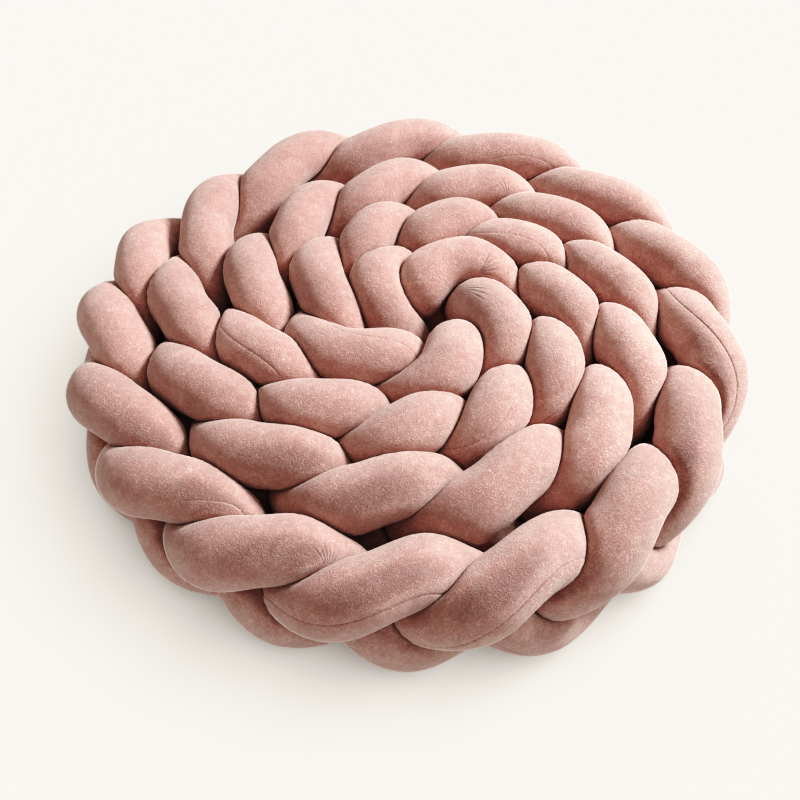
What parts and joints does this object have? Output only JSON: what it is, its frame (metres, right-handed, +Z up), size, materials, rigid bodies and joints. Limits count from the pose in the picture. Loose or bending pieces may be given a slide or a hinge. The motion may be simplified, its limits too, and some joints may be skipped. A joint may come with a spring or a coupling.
{
  "type": "braided crib bumper",
  "caption": "Padded crib bumper of plump velvet tubes plaited into a flat braid, stood on its edge and coiled into a round that rests on a flat surface.",
  "frame": {"origin": "middle of the coil's box, on the surface it rests on", "axes": "+Z up, +X to the right and +Y away from the viewer of the picture"},
  "size_m": [0.6538, 0.605, 0.1355],
  "materials": {
    "plush_velvet": "matte short-pile velvet, dusty pink"
  },
  "bodies": {
    "root": {"strand_1": "plush_velvet", "strand_2": "plush_velvet", "strand_3": "plush_velvet"}
  },
  "joints": []
}
